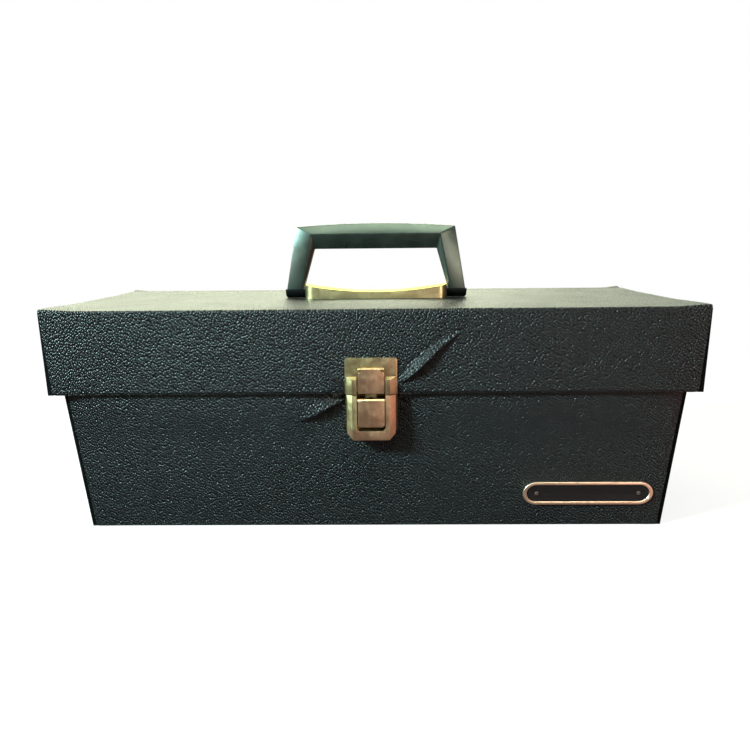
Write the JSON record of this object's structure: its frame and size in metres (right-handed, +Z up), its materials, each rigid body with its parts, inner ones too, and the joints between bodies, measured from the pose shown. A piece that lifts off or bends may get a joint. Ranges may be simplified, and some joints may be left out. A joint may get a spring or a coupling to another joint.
{
  "type": "game cartridge carrying case",
  "caption": "Covered board carrying case for game cartridges: tapered body with divided rack, telescoping hinged lid, folding handle, hasp and lever latch.",
  "frame": {"origin": "middle of the base, on the surface that the case rests on", "axes": "+Z up, +X along the case to its right as seen from the front, -Y towards the front with the latch"},
  "size_m": [0.423, 0.1611, 0.2048],
  "materials": {
    "fibreboard": "dense brown fibreboard",
    "black_board": "black board, matt",
    "vinyl": "pebbled black vinyl, satin",
    "lining_paper": "black lining paper, matt",
    "antique_brass": "antique brass, brushed and worn",
    "nameplate_enamel": "black field, copper-gold rim",
    "black_plastic": "black moulded plastic, satin",
    "steel": "zinc-plated steel"
  },
  "bodies": {
    "case_body": {"bottom_board": "fibreboard", "front_board": "fibreboard", "back_board": "fibreboard", "left_end_board": "fibreboard", "right_end_board": "fibreboard", "base_cover": "vinyl", "front_cover": "vinyl", "back_cover": "vinyl", "left_end_cover": "vinyl", "right_end_cover": "vinyl", "floor_lining": "lining_paper", "front_rack": "black_board", "back_rack": "black_board", "divider_01": "black_board", "divider_02": "black_board", "divider_03": "black_board", "divider_04": "black_board", "divider_05": "black_board", "divider_06": "black_board", "divider_07": "black_board", "divider_08": "black_board", "divider_09": "black_board", "divider_10": "black_board", "divider_11": "black_board", "divider_12": "black_board", "divider_13": "black_board", "divider_14": "black_board", "latch_housing": "antique_brass", "lever_pin": "steel", "housing_rivets": "steel", "housing_washers": "steel", "nameplate": "nameplate_enamel", "nameplate_rivets": "steel", "hinge_strip": "vinyl"},
    "lid": {"lid_top_board": "fibreboard", "lid_front_board": "fibreboard", "lid_left_board": "fibreboard", "lid_right_board": "fibreboard", "lid_cover": "vinyl", "lid_left_cover": "vinyl", "lid_right_cover": "vinyl", "lid_lining": "lining_paper", "latch_lid_plate": "antique_brass", "lid_plate_rivets": "steel", "hasp_pin": "steel", "handle_bracket": "antique_brass", "handle_pins": "steel", "bracket_screws": "steel", "bracket_backing": "steel"},
    "hasp": {"hasp": "antique_brass"},
    "lever": {"lever": "antique_brass"},
    "handle": {"handle": "black_plastic"}
  },
  "joints": [
    {"name": "lid_hinge", "type": "hinge", "parent": "case_body", "child": "lid", "pos_m": [0, 0.077, 0.14665], "axis": [-1, 0, 0], "range_deg": [0, 180], "deforming": ["hinge_strip"]},
    {"name": "hasp_swing", "type": "hinge", "parent": "lid", "child": "hasp", "pos_m": [-0.0014, -0.08275, 0.11215], "axis": [-1, 0, 0], "range_deg": [0, 110]},
    {"name": "lever_lift", "type": "hinge", "parent": "case_body", "child": "lever", "pos_m": [-0.0014, -0.0821, 0.0911], "axis": [-1, 0, 0], "range_deg": [0, 90]},
    {"name": "handle_fold", "type": "hinge", "parent": "lid", "child": "handle", "pos_m": [0.0015, 0, 0.1567], "axis": [1, 0, 0], "range_deg": [-87, 87]}
  ]
}
